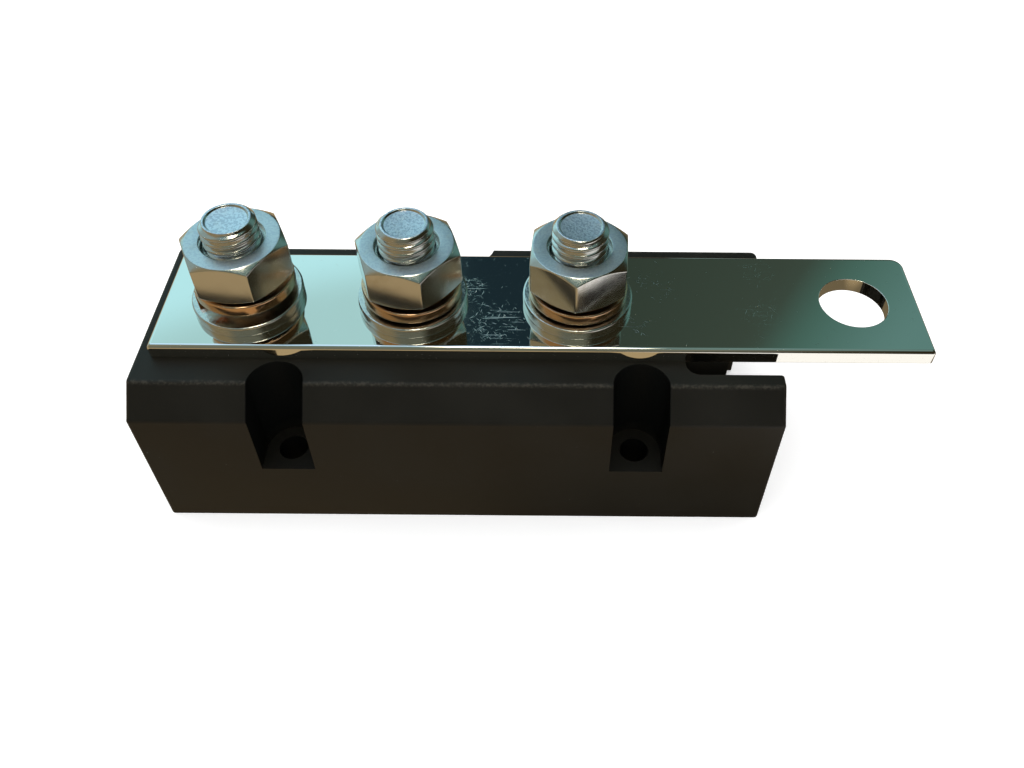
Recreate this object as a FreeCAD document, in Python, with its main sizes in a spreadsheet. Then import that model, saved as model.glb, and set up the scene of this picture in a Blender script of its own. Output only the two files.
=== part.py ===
"""Three-stud insulated busbar: a moulded base, a plated link bar and three M10 clamping studs.

Origin: underside of the base, midway along the overall length and midway across the bar.
X runs along the bar towards its free end, Y runs towards the back, Z is up.
"""
import FreeCAD, Part

import os
import re

import Sketcher

Vector = FreeCAD.Vector

DRIVING_DIMENSIONS = [
    # moulded base
    ("base_length", 116.5),
    ("base_depth", 46.4),
    ("base_height", 34.3),
    ("base_corner_radius", 0.9),
    ("front_shoulder", 5.0),
    ("back_shoulder", 6.0),
    ("shoulder_round", 1.2),
    ("end_edge_round", 0.8),
    ("deck_thickness", 8.8),
    ("channel_length", 85.0),
    ("channel_width", 20.6),
    # recess between the two ears at the free end
    ("ear_thickness", 7.7),
    ("recess_depth", 9.6),
    ("relief_length", 7.8),
    ("relief_round", 2.4),
    # mounting pockets, two in front and one behind
    ("pocket_spacing", 64.6),
    ("pocket_first_from_left", 26.3),
    ("pocket_radius", 4.95),
    ("pocket_setback", 5.0),
    ("pocket_floor_height", 15.4),
    ("mounting_hole_diameter", 5.4),
    # link bar
    ("bar_length", 140.6),
    ("bar_width", 25.0),
    ("bar_thickness", 3.0),
    ("bar_inset", 2.9),
    ("bar_edge_round", 0.8),
    ("bar_back_corner_radius", 2.4),
    ("bar_front_corner_radius", 0.5),
    ("end_hole_diameter", 12.7),
    ("end_hole_from_tip", 12.1),
    # studs
    ("stud_diameter", 10.0),
    ("stud_hole_diameter", 10.5),
    ("stud_spacing", 30.5),
    ("first_stud_from_bar_end", 15.9),
    ("stud_tip_chamfer", 0.75),
    ("tip_cup_diameter", 7.5),
    ("tip_cup_depth", 0.3),
    ("thread_pitch", 1.5),
    ("thread_depth", 0.85),
    ("thread_root_flat", 0.2),
    ("thread_crest_flat", 0.26),
    ("thread_runout", 2.4),
    ("head_flats", 17.0),
    ("head_height", 6.4),
    ("head_pocket_flats", 17.3),
    ("head_pocket_depth", 6.6),
    # clamping stack
    ("flat_washer_diameter", 20.2),
    ("flat_washer_bore", 10.5),
    ("flat_washer_thickness", 2.0),
    ("washer_edge_round", 0.25),
    ("spring_washer_diameter", 18.1),
    ("spring_washer_bore", 10.4),
    ("spring_washer_thickness", 2.2),
    ("spring_washer_corner", 0.3),
    ("spring_washer_turns", 0.958),
    ("nut_flats", 17.0),
    ("nut_height", 8.0),
    ("nut_bore", 10.16),
    ("nut_countersink", 0.7),
    ("nut_seat_gap", 0.05),
    ("corner_cut_radius", 8.3),
    ("corner_cut_drop", 1.0),
    # plate that holds the stud heads up, and its screws
    ("plate_length", 84.0),
    ("plate_width", 20.0),
    ("plate_thickness", 2.5),
    ("plate_corner_radius", 2.0),
    ("screw_diameter", 3.5),
    ("screw_length", 9.5),
    ("screw_point", 2.0),
    ("screw_head_diameter", 6.9),
    ("screw_head_height", 2.4),
    ("screw_slot_span", 3.8),
    ("screw_slot_width", 0.9),
    ("screw_slot_depth", 1.4),
    ("screw_pair_spacing", 12.0),
    ("screw_hole_diameter", 3.8),
    ("pilot_hole_diameter", 3.6),
    ("pilot_hole_depth", 9.0),
]

# Each stack from left to right: length of the stud above its head and standing height of the spring
# washer in mm, then direction of the washer's split and turn of the nut in degrees about the stud.
STACKS = {
    "1": {"stud_length": 30.8, "spring_height": 4.6, "split_angle": -145.0, "nut_turn": 26.0},
    "2": {"stud_length": 30.2, "spring_height": 3.6, "split_angle": 75.0, "nut_turn": 18.7},
    "3": {"stud_length": 29.9, "spring_height": 3.4, "split_angle": 60.0, "nut_turn": -4.3},
}

SHEET = "Dimensions"
FULL_TURN = 360
BEYOND = 2.0
HEX_CORNERS = range(6)
SAME_PLACE = 0.01
LEAST_CUT = 0.01
OUTSIDE_WALL = 0.1

document = FreeCAD.newDocument("busbar")


def fill_sheet():
    """Write every driving dimension as a plain number with its alias."""
    rows = list(DRIVING_DIMENSIONS)
    for number, stack in STACKS.items():
        rows += [(f"{name}_{number}", amount) for name, amount in stack.items()]
    sheet = document.addObject("Spreadsheet::Sheet", SHEET)
    for row, (alias, amount) in enumerate(rows, start=1):
        sheet.set(f"A{row}", alias.replace("_", " "))
        sheet.set(f"B{row}", str(amount))
        sheet.setAlias(f"B{row}", alias)
    document.recompute()


def on_sheet(formula):
    """Point every name with an underscore in the formula at the sheet."""
    return re.sub(r"[a-z]+_[a-z_0-9]+", lambda found: f"{SHEET}.{found.group()}", formula)


# Places that several pieces share, as formulas on the sheet.
BASE_LEFT = "-(bar_inset + bar_length) / 2"
BASE_RIGHT = f"({BASE_LEFT} + base_length)"
BAR_LEFT = f"({BASE_LEFT} + bar_inset)"
BAR_RIGHT = "(bar_inset + bar_length) / 2"
FIRST_STUD = f"({BAR_LEFT} + first_stud_from_bar_end)"
MIDDLE_STUD = f"({FIRST_STUD} + stud_spacing)"
BAR_TOP = "(base_height + bar_thickness)"
HEAD_SEAT = "(base_height - deck_thickness)"
CHANNEL_ROOF = f"({HEAD_SEAT} - head_pocket_depth)"


def stud_place(number):
    return f"({FIRST_STUD} + {int(number) - 1} * stud_spacing)"


def new_body(label, x="0", y="0", z="0", turn="0"):
    """Add an empty body standing at a place given by formulas, turned about the vertical."""
    body = document.addObject("PartDesign::Body", label)
    body.Label = label
    body.Placement = FreeCAD.Placement(Vector(), FreeCAD.Rotation(Vector(0, 0, 1), 0))
    for axis, formula in (("x", x), ("y", y), ("z", z)):
        body.setExpression(f"Placement.Base.{axis}", on_sheet(formula))
    body.setExpression("Placement.Rotation.Angle", on_sheet(turn))
    return body


def origin_part(body, role):
    return next(part for part in body.Origin.OriginFeatures if part.Role == role)


def new_sketch(body, name, plane, height):
    sketch = body.newObject("Sketcher::SketchObject", name)
    sketch.AttachmentSupport = (origin_part(body, plane), [""])
    sketch.MapMode = "FlatFace"
    sketch.setExpression("AttachmentOffset.Base.z", on_sheet(height))
    return sketch


def fix_point(sketch, curve, point, across, upward):
    """Hold one point of a sketch curve at a place given by two formulas."""
    for kind, formula in (("DistanceX", across), ("DistanceY", upward)):
        index = sketch.addConstraint(Sketcher.Constraint(kind, -1, 1, curve, point, 1.0))
        sketch.setExpression(f"Constraints[{index}]", on_sheet(formula))


def polygon(body, name, corners, plane="XY_Plane", height="0"):
    """Sketch a closed outline of straight lines through corners given as pairs of formulas."""
    sketch = new_sketch(body, name, plane, height)
    count = len(corners)
    start = [Vector(10, 0, 0), Vector(10, 10, 0), Vector(0, 10, 0), Vector(0, 0, 0)]
    rough = [start[i % 4] + Vector(i, -i, 0) for i in range(count)]
    for i in range(count):
        sketch.addGeometry(Part.LineSegment(rough[i], rough[(i + 1) % count]), False)
    for i in range(count):
        sketch.addConstraint(Sketcher.Constraint("Coincident", i, 2, (i + 1) % count, 1))
        fix_point(sketch, i, 1, *corners[i])
    return sketch


def rectangle(body, name, left, right, front, back, height="0"):
    corners = [(left, front), (right, front), (right, back), (left, back)]
    return polygon(body, name, corners, height=height)


def circles(body, name, rounds, height="0"):
    """Sketch circles given as (x, y, diameter) formulas."""
    sketch = new_sketch(body, name, "XY_Plane", height)
    for i, (x, y, diameter) in enumerate(rounds):
        sketch.addGeometry(Part.Circle(Vector(5 * i, 0, 0), Vector(0, 0, 1), 1.0 + i), False)
        fix_point(sketch, i, 3, x, y)
        index = sketch.addConstraint(Sketcher.Constraint("Diameter", i, 2.0 + 2 * i))
        sketch.setExpression(f"Constraints[{index}]", on_sheet(diameter))
    return sketch


def hexagon(body, name, flats, height="0"):
    """Sketch a hexagon with one corner towards the front."""
    reach = f"{flats} / sqrt(3)"
    corners = [(f"{reach} * cos({60 * k - 90})", f"{reach} * sin({60 * k - 90})") for k in HEX_CORNERS]
    return polygon(body, name, corners, height=height)


def pad(body, name, sketch, length):
    feature = body.newObject("PartDesign::Pad", name)
    feature.Profile = sketch
    feature.setExpression("Length", on_sheet(length))
    document.recompute()
    return feature


def pocket(body, name, sketch, length, upwards=False):
    """Cut a sketch down to a depth, or up, and make sure that it removes material."""
    before = body.Shape.Volume
    feature = body.newObject("PartDesign::Pocket", name)
    feature.Profile = sketch
    feature.Reversed = upwards
    feature.setExpression("Length", on_sheet(length))
    document.recompute()
    if body.Shape.Volume > before - LEAST_CUT:
        raise RuntimeError(f"{name} of {body.Label} cuts nothing")
    return feature


def groove(body, name, sketch):
    """Cut a sketch turned once about the body's vertical axis."""
    before = body.Shape.Volume
    feature = body.newObject("PartDesign::Groove", name)
    feature.Profile = sketch
    feature.ReferenceAxis = (origin_part(body, "Z_Axis"), [""])
    feature.Angle = FULL_TURN
    document.recompute()
    if body.Shape.Volume > before - LEAST_CUT:
        raise RuntimeError(f"{name} of {body.Label} cuts nothing")
    return feature


def dress(body, kind, name, size, wanted):
    """Round or chamfer the edges of the body that the test accepts."""
    base = body.Tip
    edges = [f"Edge{i}" for i, edge in enumerate(base.Shape.Edges, start=1) if wanted(edge)]
    if not edges:
        raise RuntimeError(f"{name} of {body.Label} finds no edge")
    feature = body.newObject(f"PartDesign::{kind}", name)
    feature.Base = (base, edges)
    feature.setExpression("Radius" if kind == "Fillet" else "Size", on_sheet(size))
    document.recompute()
    return feature


def is_upright(edge):
    box = edge.BoundBox
    return box.XLength < SAME_PLACE and box.YLength < SAME_PLACE


def is_level_at(edge, height):
    box = edge.BoundBox
    return abs(box.ZMin - height) < SAME_PLACE and abs(box.ZMax - height) < SAME_PLACE


def runs_along_x(edge):
    box = edge.BoundBox
    return box.YLength < SAME_PLACE and box.ZLength < SAME_PLACE


def dimension(alias):
    return float(document.getObject(SHEET).get(alias))


def cut_mounting_pocket(body, name, x, facing):
    """Cut one upright half-round channel with its screw hole; facing is -1 in front and 1 behind."""
    depth = "base_height - pocket_floor_height"
    middle = f"{facing} * (base_depth / 2 - pocket_setback)"
    outside = f"{facing} * (base_depth / 2 + {BEYOND})"
    near, far = (outside, middle) if facing < 0 else (middle, outside)
    sides = (f"{x} - pocket_radius", f"{x} + pocket_radius")
    round_end = circles(body, f"{name}RoundSketch", [(x, middle, "2 * pocket_radius")], "base_height")
    pocket(body, f"{name}Round", round_end, depth)
    mouth = rectangle(body, f"{name}MouthSketch", *sides, near, far, "base_height")
    pocket(body, f"{name}Mouth", mouth, depth)
    hole = circles(body, f"{name}HoleSketch", [(x, middle, "mounting_hole_diameter")], "pocket_floor_height")
    pocket(body, f"{name}Hole", hole, f"pocket_floor_height + {BEYOND}")


def cut_shoulders(body):
    """Slope both long top edges at 45 degrees."""
    for side, name in ((-1, "Front"), (1, "Back")):
        edge = f"{side} * base_depth / 2"
        shoulder = f"{name.lower()}_shoulder"
        corners = [
            (f"{edge} - {side} * {shoulder}", "base_height"),
            (f"{edge} + {side * BEYOND}", f"base_height - {shoulder} - {BEYOND}"),
            (f"{edge} + {side * BEYOND}", "base_height"),
        ]
        before = body.Shape.Volume
        feature = body.newObject("PartDesign::Pocket", f"{name}Shoulder")
        feature.Profile = polygon(body, f"{name}ShoulderSketch", corners, plane="YZ_Plane")
        feature.Midplane = True
        feature.setExpression("Length", on_sheet("2 * base_length"))
        document.recompute()
        if body.Shape.Volume > before - LEAST_CUT:
            raise RuntimeError("a shoulder cuts nothing")


def cut_end_recess(body):
    """Open the free end between two ears, with a narrow relief running in along each ear."""
    half_gap = "(base_depth / 2 - ear_thickness)"
    half_tongue = "bar_width / 2"
    mouth = f"{BASE_RIGHT} - recess_depth"
    outside = f"{BASE_RIGHT} + {BEYOND}"
    relief_end = f"{mouth} - relief_length"
    through = f"base_height + {BEYOND}"
    opening = rectangle(body, "RecessSketch", mouth, outside, f"-{half_gap}", half_gap, "base_height")
    pocket(body, "Recess", opening, through)
    reliefs = {"Front": (f"-{half_gap}", f"-{half_tongue}"), "Back": (half_tongue, half_gap)}
    for name, walls in reliefs.items():
        outline = rectangle(body, f"{name}ReliefSketch", relief_end, mouth, *walls, "base_height")
        pocket(body, f"{name}Relief", outline, through)
    inner_x = dimension("base_length") - dimension("recess_depth") - dimension("relief_length")
    inner_x -= (dimension("bar_inset") + dimension("bar_length")) / 2
    inner_y = dimension("base_depth") / 2 - dimension("ear_thickness")

    def at_relief_corner(edge):
        spot = edge.CenterOfMass
        at_wall = abs(abs(spot.y) - inner_y) < SAME_PLACE
        return is_upright(edge) and abs(spot.x - inner_x) < SAME_PLACE and at_wall

    dress(body, "Fillet", "ReliefRounds", "relief_round", at_relief_corner)


def make_base():
    """The moulded block that insulates the bar, hollowed from below around the stud heads."""
    body = new_body("base_moulding")
    half_depth = "base_depth / 2"
    outline = rectangle(body, "OutlineSketch", BASE_LEFT, BASE_RIGHT, f"-{half_depth}", half_depth)
    pad(body, "Block", outline, "base_height")
    dress(body, "Fillet", "CornerRounds", "base_corner_radius", is_upright)
    cut_shoulders(body)
    top = dimension("base_height")

    def on_shoulder(edge):
        box = edge.BoundBox
        return runs_along_x(edge) and box.ZMin > top - dimension("back_shoulder") - SAME_PLACE

    dress(body, "Fillet", "ShoulderRounds", "shoulder_round", on_shoulder)

    def on_top_end(edge):
        box = edge.BoundBox
        return is_level_at(edge, top) and box.XLength < SAME_PLACE

    dress(body, "Fillet", "EndRounds", "end_edge_round", on_top_end)
    cut_end_recess(body)
    first_pocket = f"({BASE_LEFT} + pocket_first_from_left)"
    cut_mounting_pocket(body, "FirstPocket", first_pocket, -1)
    cut_mounting_pocket(body, "SecondPocket", f"({first_pocket} + pocket_spacing)", -1)
    cut_mounting_pocket(body, "BackPocket", f"({first_pocket} + pocket_spacing / 2)", 1)
    channel = rectangle(body, "ChannelSketch", f"{MIDDLE_STUD} - channel_length / 2",
                        f"{MIDDLE_STUD} + channel_length / 2", "-channel_width / 2", "channel_width / 2")
    pocket(body, "Channel", channel, CHANNEL_ROOF, upwards=True)
    for number in STACKS:
        x = stud_place(number)
        reach = "head_pocket_flats / sqrt(3)"
        corners = [
            (f"{x} + {reach} * cos({60 * k - 90})", f"{reach} * sin({60 * k - 90})") for k in HEX_CORNERS
        ]
        seat = polygon(body, f"HeadPocketSketch{number}", corners, height=CHANNEL_ROOF)
        pocket(body, f"HeadPocket{number}", seat, "head_pocket_depth", upwards=True)
    holes = [(stud_place(number), "0", "stud_hole_diameter") for number in STACKS]
    through_deck = f"deck_thickness + {BEYOND}"
    pocket(body, "StudHoles", circles(body, "StudHoleSketch", holes, HEAD_SEAT), through_deck, upwards=True)
    pilots = [(x, y, "pilot_hole_diameter") for x, y in screw_places()]
    pilot_sketch = circles(body, "PilotHoleSketch", pilots, CHANNEL_ROOF)
    pocket(body, "PilotHoles", pilot_sketch, "pilot_hole_depth", upwards=True)


def screw_places():
    """Formulas for the four plate screws: a pair midway between each two studs."""
    return [
        (f"({FIRST_STUD} + {gap} * stud_spacing)", f"{side} * screw_pair_spacing / 2")
        for gap in (0.5, 1.5)
        for side in (-1, 1)
    ]


def make_bar():
    """The flat link bar, reaching past the base to a terminal hole."""
    body = new_body("link_bar", z="base_height")
    outline = rectangle(body, "OutlineSketch", BAR_LEFT, BAR_RIGHT, "-bar_width / 2", "bar_width / 2")
    pad(body, "Strip", outline, "bar_thickness")

    def corner(at_right, at_back):
        def wanted(edge):
            spot = edge.CenterOfMass
            return is_upright(edge) and (spot.x > 0) == at_right and (spot.y > 0) == at_back
        return wanted

    dress(body, "Fillet", "BackCornerRound", "bar_back_corner_radius", corner(True, True))
    dress(body, "Fillet", "FrontCornerRound", "bar_front_corner_radius", corner(True, False))
    dress(body, "Fillet", "LeftFrontRound", "bar_front_corner_radius", corner(False, False))
    dress(body, "Fillet", "LeftBackRound", "bar_front_corner_radius", corner(False, True))
    top = dimension("bar_thickness")
    dress(body, "Fillet", "TopEdgeRound", "bar_edge_round", lambda edge: is_level_at(edge, top))
    holes = [(stud_place(number), "0", "stud_hole_diameter") for number in STACKS]
    holes.append((f"{BAR_RIGHT} - end_hole_from_tip", "0", "end_hole_diameter"))
    pocket(body, "Holes", circles(body, "HoleSketch", holes, "bar_thickness"), f"bar_thickness + {BEYOND}")


def cut_hexagon_corners(body, name, plane_height, facing):
    """Turn the corners of a hexagon down to a cone; facing is 1 at a top face and -1 at a bottom face."""
    outer = f"corner_cut_radius + {BEYOND}"
    slope = "corner_cut_drop / (head_flats / sqrt(3) - corner_cut_radius)"
    low = f"{plane_height} - {facing * BEYOND} * {slope}"
    outside = f"{plane_height} + {facing * OUTSIDE_WALL}"
    corners = [
        ("corner_cut_radius", plane_height),
        (outer, low),
        (outer, outside),
        ("corner_cut_radius", outside),
    ]
    groove(body, name, polygon(body, f"{name}Sketch", corners, plane="XZ_Plane"))


def cut_thread(body, length):
    """Cut the screw thread as one helical groove from the plain neck under the head to past the tip."""
    root = "stud_diameter / 2 - thread_depth"
    crest = f"stud_diameter / 2 + {OUTSIDE_WALL}"
    mouth = "(thread_pitch - thread_crest_flat) / 2"
    start = "thread_runout"
    corners = [
        (crest, f"{start} + {mouth}"),
        (root, f"{start} + thread_root_flat / 2"),
        (root, f"{start} - thread_root_flat / 2"),
        (crest, f"{start} - {mouth}"),
    ]
    before = body.Shape.Volume
    feature = body.newObject("PartDesign::SubtractiveHelix", "Thread")
    feature.Profile = polygon(body, "ThreadSketch", corners, plane="XZ_Plane")
    feature.ReferenceAxis = (origin_part(body, "Z_Axis"), [""])
    feature.Mode = "pitch-height-angle"
    feature.setExpression("Pitch", on_sheet("thread_pitch"))
    feature.setExpression("Height", on_sheet(length))
    document.recompute()
    if body.Shape.Volume > before - LEAST_CUT:
        raise RuntimeError("the thread cuts nothing")


def make_stud(number):
    """A hexagon-head screw standing up through the deck and the bar."""
    body = new_body(f"stud_bolt_{number}", x=stud_place(number), z=HEAD_SEAT)
    pad(body, "Head", hexagon(body, "HeadSketch", "head_flats", "-head_height"), "head_height")
    cut_hexagon_corners(body, "HeadCorners", "-head_height", -1)
    length = f"stud_length_{number}"
    pad(body, "Shank", circles(body, "ShankSketch", [("0", "0", "stud_diameter")]), length)
    radius = "stud_diameter / 2"
    outer = f"{radius} + {BEYOND}"
    tip = [
        (f"{radius} - stud_tip_chamfer", length),
        (outer, f"{length} - stud_tip_chamfer - {BEYOND}"),
        (outer, length),
    ]
    groove(body, "Tip", polygon(body, "TipSketch", tip, plane="XZ_Plane"))
    cut_thread(body, length)
    cup = circles(body, "TipCupSketch", [("0", "0", "tip_cup_diameter")], length)
    pocket(body, "TipCup", cup, "tip_cup_depth")


def make_flat_washer(number):
    body = new_body(f"flat_washer_{number}", x=stud_place(number), z=BAR_TOP)
    ring = circles(body, "RingSketch", [("0", "0", "flat_washer_diameter"), ("0", "0", "flat_washer_bore")])
    pad(body, "Ring", ring, "flat_washer_thickness")
    rim = dimension("flat_washer_diameter") / 2
    dress(body, "Fillet", "RimRounds", "washer_edge_round",
          lambda edge: edge.BoundBox.ZLength < SAME_PLACE and edge.BoundBox.XLength > 2 * rim - SAME_PLACE)


def make_spring_washer(number):
    """A split ring of square wire that climbs left-handed from its low end to its high end."""
    height = f"{BAR_TOP} + flat_washer_thickness"
    turn = f"split_angle_{number} + {FULL_TURN / 2} * (spring_washer_turns - 1)"
    body = new_body(f"spring_washer_{number}", x=stud_place(number), z=height, turn=turn)
    inner, outer = "spring_washer_bore / 2", "spring_washer_diameter / 2"
    thickness, corner = "spring_washer_thickness", "spring_washer_corner"
    corners = [
        (f"{inner} + {corner}", "0"), (f"{outer} - {corner}", "0"),
        (outer, corner), (outer, f"{thickness} - {corner}"),
        (f"{outer} - {corner}", thickness), (f"{inner} + {corner}", thickness),
        (inner, f"{thickness} - {corner}"), (inner, corner),
    ]
    feature = body.newObject("PartDesign::AdditiveHelix", "Coil")
    feature.Profile = polygon(body, "WireSketch", corners, plane="XZ_Plane")
    feature.ReferenceAxis = (origin_part(body, "Z_Axis"), [""])
    feature.Mode = "height-turns-angle"
    feature.LeftHanded = True
    feature.setExpression("Height", on_sheet(f"spring_height_{number} - {thickness}"))
    feature.setExpression("Turns", on_sheet("spring_washer_turns"))
    document.recompute()


def make_nut(number):
    """A hexagon nut, cut to a cone at the corners of both faces and countersunk at both ends."""
    seat = f"{BAR_TOP} + flat_washer_thickness + spring_height_{number} + nut_seat_gap"
    body = new_body(f"hex_nut_{number}", x=stud_place(number), z=seat, turn=f"nut_turn_{number}")
    pad(body, "Prism", hexagon(body, "HexagonSketch", "nut_flats"), "nut_height")
    through = f"nut_height + {BEYOND}"
    pocket(body, "Bore", circles(body, "BoreSketch", [("0", "0", "nut_bore")], "nut_height"), through)
    cut_hexagon_corners(body, "TopCorners", "nut_height", 1)
    cut_hexagon_corners(body, "BottomCorners", "0", -1)
    bore = dimension("nut_bore")

    def at_bore(edge):
        box = edge.BoundBox
        return box.ZLength < SAME_PLACE and abs(box.XLength - bore) < SAME_PLACE

    dress(body, "Chamfer", "Countersinks", "nut_countersink", at_bore)


def make_plate():
    """The insulating plate that keeps the stud heads up in their pockets."""
    body = new_body("head_retainer_plate", x=MIDDLE_STUD, z=f"{CHANNEL_ROOF} - plate_thickness")
    outline = rectangle(body, "OutlineSketch", "-plate_length / 2", "plate_length / 2",
                        "-plate_width / 2", "plate_width / 2")
    pad(body, "Plate", outline, "plate_thickness")
    dress(body, "Fillet", "CornerRounds", "plate_corner_radius", is_upright)
    holes = [(f"{x} - {MIDDLE_STUD}", y, "screw_hole_diameter") for x, y in screw_places()]
    through = f"plate_thickness + {BEYOND}"
    pocket(body, "ScrewHoles", circles(body, "HoleSketch", holes, "plate_thickness"), through)


def make_screw(number, place):
    """A pan-head tapping screw pointing up, with a crossed recess in its head."""
    x, y = place
    body = new_body(f"plate_screw_{number}", x=x, y=y, z=f"{CHANNEL_ROOF} - plate_thickness")
    head = circles(body, "HeadSketch", [("0", "0", "screw_head_diameter")], "-screw_head_height")
    pad(body, "Head", head, "screw_head_height")
    rim = dimension("screw_head_diameter")
    low = -dimension("screw_head_height")
    dress(body, "Fillet", "HeadRound", "screw_head_height / 2",
          lambda edge: is_level_at(edge, low) and edge.BoundBox.XLength > rim - SAME_PLACE)
    pad(body, "Shank", circles(body, "ShankSketch", [("0", "0", "screw_diameter")]), "screw_length")
    radius = "screw_diameter / 2"
    outside = f"{radius} + {OUTSIDE_WALL}"
    point = [
        (f"{radius} / 3", "screw_length"),
        (outside, "screw_length - screw_point"),
        (outside, "screw_length"),
    ]
    groove(body, "Point", polygon(body, "PointSketch", point, plane="XZ_Plane"))
    long, narrow = "screw_slot_span / 2", "screw_slot_width / 2"
    for name, half_x, half_y in (("Along", long, narrow), ("Across", narrow, long)):
        sides = (f"-{half_x}", half_x, f"-{half_y}", half_y)
        slot = rectangle(body, f"{name}SlotSketch", *sides, "-screw_head_height")
        pocket(body, f"{name}Slot", slot, "screw_slot_depth", upwards=True)


def check_and_write():
    """Stop on any failed object, then write one file for each sub-part."""
    document.recompute()
    for thing in document.Objects:
        if "Invalid" in thing.State or "Error" in thing.State:
            raise RuntimeError(f"{thing.Name} ({thing.Label}) failed: {thing.State}")
    bodies = document.findObjects("PartDesign::Body")
    for body in bodies:
        if body.Shape.isNull() or not body.Shape.isValid() or len(body.Shape.Solids) != 1:
            raise RuntimeError(f"{body.Label} is not one valid solid")
    os.makedirs("parts", exist_ok=True)
    for body in bodies:
        body.Shape.exportStep(f"parts/{body.Label}.step")
        print(f"{body.Label}: {body.Shape.Volume:.1f} mm3")


fill_sheet()
make_base()
make_bar()
for stack_number in STACKS:
    make_stud(stack_number)
    make_flat_washer(stack_number)
    make_spring_washer(stack_number)
    make_nut(stack_number)
make_plate()
for screw_number, screw_place in enumerate(screw_places(), start=1):
    make_screw(screw_number, screw_place)
check_and_write()
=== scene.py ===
"""Looks of a three-stud insulated busbar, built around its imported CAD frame."""

import math

import bmesh
import bpy
import numpy as np
from bpy.props import FloatProperty, FloatVectorProperty, IntProperty, PointerProperty
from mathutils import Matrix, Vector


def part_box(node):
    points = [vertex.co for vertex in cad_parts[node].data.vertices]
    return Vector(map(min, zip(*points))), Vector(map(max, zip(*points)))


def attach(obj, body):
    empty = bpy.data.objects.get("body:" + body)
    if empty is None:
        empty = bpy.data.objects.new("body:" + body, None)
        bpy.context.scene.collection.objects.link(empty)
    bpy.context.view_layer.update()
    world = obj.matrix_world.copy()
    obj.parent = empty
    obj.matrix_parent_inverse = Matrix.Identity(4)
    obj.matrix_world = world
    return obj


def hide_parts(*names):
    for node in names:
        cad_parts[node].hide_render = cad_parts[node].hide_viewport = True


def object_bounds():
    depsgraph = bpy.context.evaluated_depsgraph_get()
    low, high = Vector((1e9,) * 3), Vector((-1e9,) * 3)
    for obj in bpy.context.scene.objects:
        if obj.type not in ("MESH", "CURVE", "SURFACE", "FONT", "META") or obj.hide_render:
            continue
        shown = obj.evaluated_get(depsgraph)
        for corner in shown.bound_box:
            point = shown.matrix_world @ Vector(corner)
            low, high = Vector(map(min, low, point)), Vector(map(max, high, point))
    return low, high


bl_info = {
    "name": "Insulated Busbar",
    "version": (1, 0, 0),
    "blender": (4, 5, 0),
    "location": "3D View > Sidebar > Busbar",
    "description": "Dresses the busbar's frame with threads, rounded hardware and finishes",
    "category": "Object",
}

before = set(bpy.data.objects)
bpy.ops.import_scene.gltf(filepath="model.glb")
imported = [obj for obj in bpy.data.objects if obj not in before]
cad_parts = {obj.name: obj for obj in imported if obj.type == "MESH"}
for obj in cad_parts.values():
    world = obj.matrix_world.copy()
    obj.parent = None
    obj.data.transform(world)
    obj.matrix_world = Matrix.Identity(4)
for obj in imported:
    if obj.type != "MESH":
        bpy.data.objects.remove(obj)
CAD_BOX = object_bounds()
MM = 0.001
STACKS = ("1", "2", "3")
SCREWS = ("1", "2", "3", "4")

# Axes of the three mounting pockets, seen from above.
POCKET_LEFT = CAD_BOX[0].x + 26.3 * MM
POCKET_SPACING = 64.6 * MM
POCKET_TO_FACE = 5.0 * MM
POCKET_AXIS = CAD_BOX[1].y - POCKET_TO_FACE
POCKET_RADIUS = 4.95 * MM
POCKET_FLOOR = 15.4 * MM
# Lines where the flat deck meets its sloped shoulders, front and back.
BASE_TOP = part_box("base_moulding")[1].z
LEDGE_EDGES = (-18.2 * MM, 17.2 * MM)
POCKETS = (
    (POCKET_LEFT, -POCKET_AXIS),
    (POCKET_LEFT + POCKET_SPACING, -POCKET_AXIS),
    (POCKET_LEFT + POCKET_SPACING / 2, POCKET_AXIS),
)

# Spots of the bar's top that tools have scuffed: middle and reach in mm.
WORN_SPOTS = ((-7, -6, 8), (-12, 3, 5), (23, 4, 6), (43, 8, 5), (42, -3, 5), (18, -6, 5))

# Thread: where its first groove lies under the head, and how far its flat root and the start of its flat
# crest are from a groove's middle, as shares of the pitch.
GROOVE_START = 2.4 * MM
ROOT_REACH = 0.06
CREST_START = 0.41
# Radius of the smallest ring round a pole of a turned piece.
POLE_RING = 0.05 * MM

# Light of the surroundings, by the part of the room it comes from.
SCREEN = (0.42, 0.68, 0.68)
SCREEN_FOOT = (0.53, 0.90, 0.94)
NAVY = (0.011, 0.024, 0.031)
DRAPE = (0.036, 0.052, 0.038)
DRAPE_EDGE = (0.047, 0.066, 0.049)
DULL_TEAL = (0.068, 0.150, 0.120)
TEAL = (0.115, 0.235, 0.210)
DARK_SIDE = (0.026, 0.021, 0.010)
LEFT_SIDE = (0.30, 0.38, 0.36)
BEIGE = (0.28, 0.21, 0.11)
FRONT_ROOM = (0.16, 0.155, 0.11)
ROOF = (0.154, 0.232, 0.207)
SKYLIGHT = (0.68, 0.92, 1.15)
LAMP = (12.0, 10.5, 7.8)
# Compass of the room: degrees from +Y towards +X, and the tone that starts or ends there.
COMPASS = (
    (-180, FRONT_ROOM), (-150, FRONT_ROOM), (-134, BEIGE), (-100, BEIGE),
    (-86, LEFT_SIDE), (-62, LEFT_SIDE), (-46, SCREEN), (-8.7, SCREEN), (-7.3, NAVY), (0, NAVY),
    (7, DRAPE), (19.5, DRAPE_EDGE), (23, DULL_TEAL), (29, TEAL), (45, TEAL),
    (58, DARK_SIDE), (148, DARK_SIDE), (165, FRONT_ROOM), (180, FRONT_ROOM),
)
# Azimuth and elevation of the two bright spots, and how far their full light and its end reach, in degrees.
SKYLIGHT_PLACE = (-38.0, 69.0)
SKYLIGHT_REACH = (13.0, 22.0)
LAMP_PLACE = (180.0, 84.0)
LAMP_REACH = (5.0, 8.0)
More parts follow.
